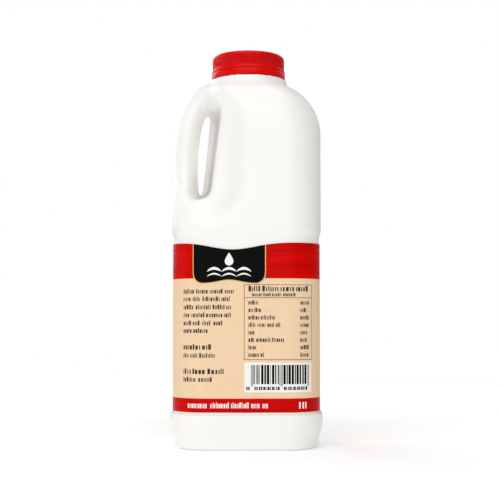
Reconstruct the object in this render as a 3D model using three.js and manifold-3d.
// A one-litre plastic milk jug: a blow-moulded bottle with a hollow side handle,
// its ribbed screw cap with a tamper band, and a paper label wrapped round the body.
// Millimetres, +Z up, the front of the label faces -Y, the handle is on the -X side.
// The origin is the middle of the base, on the surface that the bottle stands on.

import * as THREE from 'three';
import { mergeVertices } from 'three/addons/utils/BufferGeometryUtils.js';
import Module from 'manifold-3d';

// Driving dimensions of the bottle
const HALF_WIDTH = 41.5;        // middle of a side face to the axis, along X
const HALF_DEPTH = 39;          // middle of the front face to the axis, along Y
const FACE_CROWN = 0.6;         // how far a face bulges between its corners
const CORNER_RADIUS = 19;       // upright corners
const SHOULDER_START = 172.2;   // height where the straight wall ends
const SHOULDER_RADIUS = 35.8;   // arc of the shoulder in side view
const COLLAR_RADIUS = 21.8;     // round collar under the cap
const COLLAR_TOP = 207.9;
const COLLAR_ROOT = 190;        // the collar starts inside the shoulder
const COLLAR_BLEND = 3;
const SHOULDER_ROUNDING = 8;    // how much rounder the corners get on the way up to the collar
const NECK_SHIFT = 1.1;         // the neck stands a little off the middle
const SPOUT_RADIUS = 17.4;      // threaded spout, out of sight inside the cap
const SPOUT_TOP = 219.4;

// The body is sunk behind the label, so that its edges are sheltered
const LABEL_RECESS = 1;
const RECESS_ABOVE = 3;         // it runs on this far above the label,
const RECESS_FADE = 5;          // and over this height the wall comes out again

// Base: a rim that the label stands on, and a heel that tapers to the foot
const RIM_TOP = 20;
const RIM_PROUD = 0.7;
const RIM_EDGE = 1;
const HEEL_START = 13;
const HEEL_SLOPE = 0.27;
const FOOT_RADIUS = 2;
const PUSH_UP_RADIUS = 27;
const PUSH_UP_DEPTH = 2.5;

// Handle: an oval tube from the shoulder down into the side of the body
const HANDLE_HALF_X = 6.9;
const HANDLE_HALF_Y = 9.5;
const ROOT_TOP = 164;           // below this the tube widens in depth into the body
const ROOT_HEIGHT = 38;
const ROOT_FLARE = 15;
const HANDLE_BLEND = 4;
const HANDLE_STEPS = 40;
const HANDLE_REACH = 112;       // below this height the handle is all inside the body
const HANDLE_PATH = [[-8, 201], [-18, 199.6], [-26.3, 195.8], [-31.6, 185.5], [-34.4, 170], [-35.1, 156],
  [-34.6, 144], [-34, 133], [-29, 120]];

// Hand scoop: a shallow dish in both broad faces, inside it a pocket with steep walls from a lip,
// and between the two pockets a web on the middle plane, with the finger gap through it
const SCOOP_RIGHT = -1.5;       // where the dish's outline runs up the front and back faces
const SCOOP_BOTTOM = 123.5;
const SCOOP_CORNER = 22;
const SCOOP_EDGE = 4;           // softness of the outline
const DISH_WIDTH = 15;
const DISH_DEPTH = 10;
const LIP_RIGHT = -15.8;        // body side of the pocket, at GAP_LEVEL
const LIP_LEAN = 0.13;          // leans towards the neck as it rises
const LIP_BOTTOM = 136.8;
const LIP_CORNER = 6;
const LIP_SOFT = 3;
const SILL_LEFT = -26;          // beyond this the pocket's floor falls away towards the handle
const SILL_FALL = 0.3;
const WALL_DRAFT = 0.12;        // slope of the pocket's wall
const LEFT_DRAFT = 0.6;         // how much flatter it is below the handle
const LEFT_WIDTH = 12;
const LEFT_SOFT = 8;            // and how much softer its lip
const TOP_DRAFT = 0.5;          // and above the gap
const TOP_START = 182;
const TOP_END = 197;
const WEB_HALF = 1.7;
const WEB_SOFT = 2;
const GAP_RIGHT = -22.6;        // body side of the finger gap, at GAP_LEVEL
const GAP_LEVEL = 168;
const GAP_LEAN = 0.1;
const GAP_BOTTOM = 140.5;
const GAP_CORNER = 3;
const GAP_SOFT = 1;

// Label: a sleeve of heavy paper, drawn thick enough to hold as a solid
const LABEL_BOTTOM = 20.8;
const LABEL_TOP = 112.3;
const LABEL_DIP = 3.8;          // the wavy cut of its top edge, on the front
const LABEL_DIP_X = -7.5;
const LABEL_DIP_WIDTH = 17;
const LABEL_GAP = 0.25;
const LABEL_THICK = 0.35;
const CORNER_STEPS = 9;
const SIDE_STEPS = 12;

// Cap
const CAP_RADIUS = 20.6;
const CAP_TOP = 221.9;
const CAP_EDGE = 2.2;
const SKIRT_BOTTOM = 212.1;
const RIB_COUNT = 60;
const RIB_DEPTH = 0.35;
const RIB_ROOT = 1.2;           // how deep the ribs are set in the skirt
const RIB_MARGIN = 0.8;         // bare skirt below and above the ribs
const BAND_RADIUS = 21.1;
const BAND_TOP = 211.5;
const BAND_BOTTOM = 208.3;
const BAND_CHAMFER = 0.5;
const BAND_GROOVE = 19.9;       // radius at the break line between skirt and band
const CAP_BORE = 17.7;
const CAP_ROOF = 219.8;
const ROUND_STEPS = 72;

// Grid of the bottle's skin: each entry is where a stretch starts and the step along it.
// It is fine at the handle, the rim and the foot, and coarse on the straight walls.
const GRID_X = [[-50.3, 2.5], [-12.8, 4.7], [50.3]];
const GRID_Y = [[-51, 4.5], [-12, 4.2], [-3.6, 1.8], [3.6, 4.2], [12, 4.5], [51]];
const GRID_Z = [[-7.9, 2.6], [18.2, 0.95], [20.1, 0.5], [20.6, 18.5], [113, 3.3], [214]];
const TRIM = 3;                 // the skin runs on this far past the foot and the collar, then is cut flat

const wasm = await Module();
wasm.setup();

// Closed mesh to solid and back. The library's own shapes carry a uv and repeat their corners.

function solidOf(geometry) {
  const bare = geometry.clone();
  bare.deleteAttribute('normal');
  bare.deleteAttribute('uv');
  const merged = geometry.attributes.uv ? mergeVertices(bare, 1e-4) : bare;
  return new wasm.Manifold(new wasm.Mesh({
    numProp: 3,
    vertProperties: new Float32Array(merged.attributes.position.array),
    triVerts: new Uint32Array(merged.index.array),
  }));
}

function geometryOf(solid) {
  const mesh = solid.getMesh();
  const geometry = new THREE.BufferGeometry();
  geometry.setAttribute('position', new THREE.BufferAttribute(mesh.vertProperties, 3));
  geometry.setIndex(new THREE.BufferAttribute(mesh.triVerts, 1));
  geometry.computeVertexNormals();
  return geometry;
}

// A closed profile of [radius, height] points, turned round the neck's axis
function turned(profile, steps = ROUND_STEPS) {
  const points = profile.map(([radius, height]) => new THREE.Vector2(radius, height));
  const lathe = new THREE.LatheGeometry(points, steps);
  lathe.rotateX(Math.PI / 2);
  lathe.translate(NECK_SHIFT, 0, 0);
  return solidOf(lathe);
}

// The bottle as one smooth field: negative inside, about a distance near the wall

function softMin(a, b, soft) {
  const t = Math.max(soft - Math.abs(a - b), 0) / soft;
  return Math.min(a, b) - t * t * soft / 4;
}

function softMax(a, b, soft) {
  return -softMin(-a, -b, soft);
}

function roundedBox(x, y, halfX, halfY, radius) {
  const dx = Math.abs(x) - halfX + radius;
  const dy = Math.abs(y) - halfY + radius;
  return Math.hypot(Math.max(dx, 0), Math.max(dy, 0)) + Math.min(Math.max(dx, dy), 0) - radius;
}

// A soft step from 0 to 1 that starts at `from` and takes `run`
function ramp(value, from, run) {
  const t = Math.min(Math.max((value - from) / run, 0), 1);
  return t * t * (3 - 2 * t);
}

// How far the wall stands out from the straight body at a height
function wallOffset(z) {
  if (z > SHOULDER_START) {
    const rise = Math.min((z - SHOULDER_START) / SHOULDER_RADIUS, 0.999);
    return -SHOULDER_RADIUS * (1 - Math.sqrt(1 - rise * rise));
  }
  if (z > RIM_TOP) return LABEL_RECESS * (ramp(z, LABEL_TOP + RECESS_ABOVE, RECESS_FADE) - 1);
  let offset = (RIM_PROUD + LABEL_RECESS) * Math.min(1, (RIM_TOP - z) / RIM_EDGE) - LABEL_RECESS;
  if (z < HEEL_START) offset -= HEEL_SLOPE * (HEEL_START - z);
  if (z < FOOT_RADIUS) {
    const drop = Math.min((FOOT_RADIUS - z) / FOOT_RADIUS, 1);
    offset -= FOOT_RADIUS * (1 - Math.sqrt(1 - drop * drop));
  }
  return offset;
}

function bodyField(x, y, z) {
  const offset = wallOffset(z);
  const climb = Math.min(Math.max(0, z - SHOULDER_START) / (COLLAR_TOP - SHOULDER_START), 1);
  const crown = FACE_CROWN * (1 - climb);
  const px = Math.abs(x - NECK_SHIFT * climb) + crown * (y / HALF_DEPTH) ** 2;
  const py = Math.abs(y) + crown * (x / HALF_WIDTH) ** 2;
  const halfX = HALF_WIDTH + offset;
  const halfY = HALF_DEPTH + offset + (HALF_WIDTH - HALF_DEPTH) * climb ** 2;
  const corner = CORNER_RADIUS + offset / 3 + SHOULDER_ROUNDING * climb;
  const radius = Math.min(corner, Math.min(halfX, halfY) - 0.5);
  const section = roundedBox(px, py, halfX, halfY, Math.max(radius, 1));
  const rise = Math.min(Math.max(0, z - SHOULDER_START) / SHOULDER_RADIUS, 0.97);
  return section * Math.sqrt(1 - rise * rise);
}

// The dish, the pocket and the gap all run out past the bottle on the left and at the top, so each
// is the lower right corner of a big rounded square.
const FAR = 100;

function scoopField(x, y, z) {
  const deep = Math.abs(y);
  const inside = -roundedBox(x - SCOOP_RIGHT + FAR, z - SCOOP_BOTTOM - FAR, FAR, FAR, SCOOP_CORNER);
  const left = 1 - Math.min(inside / DISH_WIDTH, 1);
  const floor = HALF_DEPTH - DISH_DEPTH * (1 - left * Math.abs(left));
  const dish = (deep - floor) / Math.hypot(1, 2 * DISH_DEPTH / DISH_WIDTH * left);
  const sideDraft = WALL_DRAFT + TOP_DRAFT * ramp(z, TOP_START, TOP_END - TOP_START);
  const aside = ramp(-x, -SILL_LEFT, LEFT_WIDTH);
  const sillDraft = WALL_DRAFT + LEFT_DRAFT * aside;
  const below = HALF_DEPTH - DISH_DEPTH - deep;
  const right = LIP_RIGHT + LIP_LEAN * (z - GAP_LEVEL) - sideDraft * below;
  const fall = SILL_FALL * Math.max(SILL_LEFT - x, 0);
  const bottom = LIP_BOTTOM - fall + sillDraft * below;
  const pocket = roundedBox(x - right + FAR, z - bottom - FAR, FAR, FAR, LIP_CORNER);
  const wall = -pocket / Math.hypot(1, sideDraft, sillDraft);
  const gapRight = GAP_RIGHT + GAP_LEAN * (z - GAP_LEVEL);
  const gap = -roundedBox(x - gapRight + FAR, z - GAP_BOTTOM + fall - FAR, FAR, FAR, GAP_CORNER);
  const web = softMax(deep - WEB_HALF, gap, GAP_SOFT);
  return softMax(dish, softMin(wall, web, WEB_SOFT), LIP_SOFT + LEFT_SOFT * aside);
}

const handleCurve = new THREE.CatmullRomCurve3(HANDLE_PATH.map(([x, z]) => new THREE.Vector3(x, 0, z)));
const handlePoints = handleCurve.getSpacedPoints(HANDLE_STEPS);

function handleField(x, y, z) {
  let nearest = Infinity;
  for (let i = 0; i + 1 < handlePoints.length; i++) {
    const a = handlePoints[i];
    const b = handlePoints[i + 1];
    const runX = b.x - a.x;
    const runZ = b.z - a.z;
    const along = ((x - a.x) * runX + (z - a.z) * runZ) / (runX * runX + runZ * runZ);
    const t = Math.min(Math.max(along, 0), 1);
    nearest = Math.min(nearest, Math.hypot(x - a.x - runX * t, z - a.z - runZ * t));
  }
  const halfY = HANDLE_HALF_Y + ROOT_FLARE * ramp(-z, -ROOT_TOP, ROOT_HEIGHT);
  return Math.hypot(nearest, y * HANDLE_HALF_X / halfY) - HANDLE_HALF_X;
}

function bottleField(x, y, z) {
  const scooped = softMax(bodyField(x, y, z), scoopField(x, y, z), SCOOP_EDGE);
  const held = z > HANDLE_REACH ? softMin(scooped, handleField(x, y, z), HANDLE_BLEND) : scooped;
  if (z < SHOULDER_START) return held;
  const collar = Math.hypot(x - NECK_SHIFT, y) - COLLAR_RADIUS;
  return softMin(held, Math.max(collar, COLLAR_ROOT - z), COLLAR_BLEND);
}

// Skin of the field: one vertex in each grid cell that the wall crosses, moved onto the wall

function levels(stops) {
  const list = [stops[0][0]];
  for (let i = 0; i + 1 < stops.length; i++) {
    const [from, step] = stops[i];
    const count = Math.max(1, Math.round((stops[i + 1][0] - from) / step));
    for (let k = 1; k <= count; k++) list.push(from + (stops[i + 1][0] - from) * k / count);
  }
  return list;
}

function ontoWall(field, point) {
  const h = 0.02;
  for (let round = 0; round < 4; round++) {
    const value = field(point.x, point.y, point.z);
    const gx = (field(point.x + h, point.y, point.z) - field(point.x - h, point.y, point.z)) / (2 * h);
    const gy = (field(point.x, point.y + h, point.z) - field(point.x, point.y - h, point.z)) / (2 * h);
    const gz = (field(point.x, point.y, point.z + h) - field(point.x, point.y, point.z - h)) / (2 * h);
    const size = gx * gx + gy * gy + gz * gz;
    if (size < 1e-6) return;
    const step = Math.min(Math.max(value / size, -1.2), 1.2);
    point.x -= gx * step;
    point.y -= gy * step;
    point.z -= gz * step;
  }
}

function skinOf(field, xs, ys, zs) {
  const [nx, ny, nz] = [xs.length, ys.length, zs.length];
  const at = (i, j, k) => (k * ny + j) * nx + i;
  const values = new Float64Array(nx * ny * nz);
  for (let k = 0; k < nz; k++) {
    for (let j = 0; j < ny; j++) {
      for (let i = 0; i < nx; i++) values[at(i, j, k)] = field(xs[i], ys[j], zs[k]);
    }
  }
  const cellVertex = new Int32Array(nx * ny * nz).fill(-1);
  const positions = [];
  for (let k = 0; k + 1 < nz; k++) {
    for (let j = 0; j + 1 < ny; j++) {
      for (let i = 0; i + 1 < nx; i++) {
        const sum = new THREE.Vector3();
        let crossings = 0;
        for (let axis = 0; axis < 3; axis++) {
          for (let side = 0; side < 4; side++) {
            const low = [0, 0, 0];
            low[(axis + 1) % 3] = side & 1;
            low[(axis + 2) % 3] = side >> 1;
            const high = [...low];
            high[axis] = 1;
            const a = values[at(i + low[0], j + low[1], k + low[2])];
            const b = values[at(i + high[0], j + high[1], k + high[2])];
            if ((a < 0) === (b < 0)) continue;
            const t = a / (a - b);
            const from = new THREE.Vector3(xs[i + low[0]], ys[j + low[1]], zs[k + low[2]]);
            sum.add(from.lerp(new THREE.Vector3(xs[i + high[0]], ys[j + high[1]], zs[k + high[2]]), t));
            crossings++;
          }
        }
        if (!crossings) continue;
        sum.divideScalar(crossings);
        ontoWall(field, sum);
        cellVertex[at(i, j, k)] = positions.length / 3;
        positions.push(sum.x, sum.y, sum.z);
      }
    }
  }
  const index = [];
  const step = [1, nx, nx * ny];
  for (let k = 1; k + 1 < nz; k++) {
    for (let j = 1; j + 1 < ny; j++) {
      for (let i = 1; i + 1 < nx; i++) {
        const here = at(i, j, k);
        for (let axis = 0; axis < 3; axis++) {
          const inside = values[here] < 0;
          if (inside === (values[here + step[axis]] < 0)) continue;
          const u = step[(axis + 1) % 3];
          const v = step[(axis + 2) % 3];
          const quad = [here - u - v, here - v, here, here - u].map((cell) => cellVertex[cell]);
          if (!inside) quad.reverse();
          index.push(quad[0], quad[1], quad[2], quad[0], quad[2], quad[3]);
        }
      }
    }
  }
  const geometry = new THREE.BufferGeometry();
  geometry.setAttribute('position', new THREE.BufferAttribute(new Float32Array(positions), 3));
  geometry.setIndex(index);
  return geometry;
}

function box(lowX, highX, lowY, highY, lowZ, highZ) {
  const block = new THREE.BoxGeometry(highX - lowX, highY - lowY, highZ - lowZ);
  block.translate((lowX + highX) / 2, (lowY + highY) / 2, (lowZ + highZ) / 2);
  return solidOf(block);
}

function makeBottle() {
  const field = (x, y, z) => Math.max(bottleField(x, y, z), -TRIM - z, z - COLLAR_TOP - TRIM);
  const skin = solidOf(skinOf(field, levels(GRID_X), levels(GRID_Y), levels(GRID_Z)));
  const trimmed = skin.intersect(box(-FAR, FAR, -FAR, FAR, 0, COLLAR_TOP));
  const spout = turned([[0, COLLAR_TOP - 5], [SPOUT_RADIUS, COLLAR_TOP - 5], [SPOUT_RADIUS, SPOUT_TOP - 1],
    [SPOUT_RADIUS - 1, SPOUT_TOP], [0, SPOUT_TOP]], 48);
  const sphereRadius = (PUSH_UP_RADIUS ** 2 + PUSH_UP_DEPTH ** 2) / (2 * PUSH_UP_DEPTH);
  const arch = [[0, PUSH_UP_DEPTH]];
  for (let i = 1; i <= 5; i++) {
    const radius = PUSH_UP_RADIUS * i / 5;
    arch.push([radius, PUSH_UP_DEPTH - sphereRadius + Math.sqrt(sphereRadius ** 2 - radius ** 2)]);
  }
  const pushUp = turned([[0, -2], [PUSH_UP_RADIUS, -2], ...arch.reverse()], 32);
  return geometryOf(trimmed.add(spout).subtract(pushUp));
}

// Points round the body at the wall, anticlockwise from above, with evenly split sides and corners
function wallLoop(offset) {
  const halfX = HALF_WIDTH;
  const halfY = HALF_DEPTH;
  const flatX = halfX - CORNER_RADIUS;
  const flatY = halfY - CORNER_RADIUS;
  const corners = [[1, 1], [-1, 1], [-1, -1], [1, -1]];
  const loop = [];
  corners.forEach(([sideX, sideY], turn) => {
    for (let i = 0; i <= CORNER_STEPS; i++) {
      const angle = (turn + i / CORNER_STEPS) * Math.PI / 2;
      const [out, up] = [CORNER_RADIUS * Math.cos(angle), CORNER_RADIUS * Math.sin(angle)];
      loop.push([sideX * flatX + out, sideY * flatY + up]);
    }
    const along = turn % 2 ? [0, -sideY] : [-sideX, 0];
    const length = turn % 2 ? 2 * flatY : 2 * flatX;
    const start = loop[loop.length - 1];
    for (let i = 1; i < SIDE_STEPS; i++) {
      const way = length * i / SIDE_STEPS;
      loop.push([start[0] + along[0] * way, start[1] + along[1] * way]);
    }
  });
  return loop.map(([x, y]) => {
    const point = new THREE.Vector3(x, y, 60);
    ontoWall((px, py, pz) => bodyField(px, py, pz) - offset, point);
    return [point.x, point.y];
  });
}

function labelTopAt(x, y) {
  if (y > 0) return LABEL_TOP;
  const away = (x - LABEL_DIP_X) / LABEL_DIP_WIDTH;
  return LABEL_TOP - LABEL_DIP * Math.exp(-away * away);
}

function makeLabel() {
  const inner = wallLoop(LABEL_GAP);
  const outer = wallLoop(LABEL_GAP + LABEL_THICK);
  const count = inner.length;
  const positions = [];
  for (const loop of [inner, outer]) {
    for (const [x, y] of loop) positions.push(x, y, LABEL_BOTTOM);
    for (const [x, y] of loop) positions.push(x, y, labelTopAt(x, y));
  }
  const ring = [0, count, 3 * count, 2 * count];
  const index = [];
  for (let i = 0; i < count; i++) {
    const next = (i + 1) % count;
    for (let side = 0; side < 4; side++) {
      const a = ring[side];
      const b = ring[(side + 1) % 4];
      index.push(a + i, b + i, b + next, a + i, b + next, a + next);
    }
  }
  const geometry = new THREE.BufferGeometry();
  geometry.setAttribute('position', new THREE.BufferAttribute(new Float32Array(positions), 3));
  geometry.setIndex(index);
  geometry.computeVertexNormals();
  return geometry;
}

// Cap: roof and skirt with upright ribs, then the tamper band below its break line

function makeCap() {
  const edge = [];
  for (let i = 0; i <= 4; i++) {
    const angle = i / 4 * Math.PI / 2;
    edge.push([CAP_RADIUS - CAP_EDGE * (1 - Math.cos(angle)), CAP_TOP - CAP_EDGE * (1 - Math.sin(angle))]);
  }
  const band = [[BAND_RADIUS - BAND_CHAMFER, BAND_BOTTOM], [BAND_RADIUS, BAND_BOTTOM + BAND_CHAMFER],
    [BAND_RADIUS, BAND_TOP - BAND_CHAMFER], [BAND_RADIUS - BAND_CHAMFER, BAND_TOP]];
  const groove = [[BAND_GROOVE, BAND_TOP], [BAND_GROOVE, SKIRT_BOTTOM], [CAP_RADIUS, SKIRT_BOTTOM]];
  const bore = [[0, CAP_TOP], [0, CAP_ROOF], [CAP_BORE, CAP_ROOF], [CAP_BORE, BAND_BOTTOM]];
  const shell = turned([[CAP_BORE, BAND_BOTTOM], ...band, ...groove, ...edge, ...bore]);
  const ribShape = new THREE.Shape();
  const ribPoints = RIB_COUNT * 2;
  for (let i = 0; i < ribPoints; i++) {
    const radius = CAP_RADIUS + (i % 2 ? RIB_DEPTH : -RIB_DEPTH);
    const angle = i / ribPoints * 2 * Math.PI;
    const point = [NECK_SHIFT + radius * Math.cos(angle), radius * Math.sin(angle)];
    if (i) ribShape.lineTo(...point);
    else ribShape.moveTo(...point);
  }
  const ribHole = new THREE.Path();
  ribHole.absarc(NECK_SHIFT, 0, CAP_RADIUS - RIB_ROOT, 0, 2 * Math.PI, true);
  ribShape.holes.push(ribHole);
  const ribHeight = CAP_TOP - CAP_EDGE - SKIRT_BOTTOM - RIB_MARGIN;
  const ribs = new THREE.ExtrudeGeometry(ribShape, { depth: ribHeight, bevelEnabled: false });
  ribs.translate(0, 0, SKIRT_BOTTOM + RIB_MARGIN);
  return geometryOf(shell.add(solidOf(ribs)));
}

function piece(name, geometry, color, roughness) {
  const mesh = new THREE.Mesh(geometry, new THREE.MeshStandardMaterial({ color, roughness, metalness: 0 }));
  mesh.name = name;
  return mesh;
}

const jug = new THREE.Group();
jug.add(piece('bottle', makeBottle(), 0xf6f5f1, 0.35));
jug.add(piece('cap', makeCap(), 0xd81410, 0.35));
jug.add(piece('label', makeLabel(), 0xead0ae, 0.5));

export default jug;
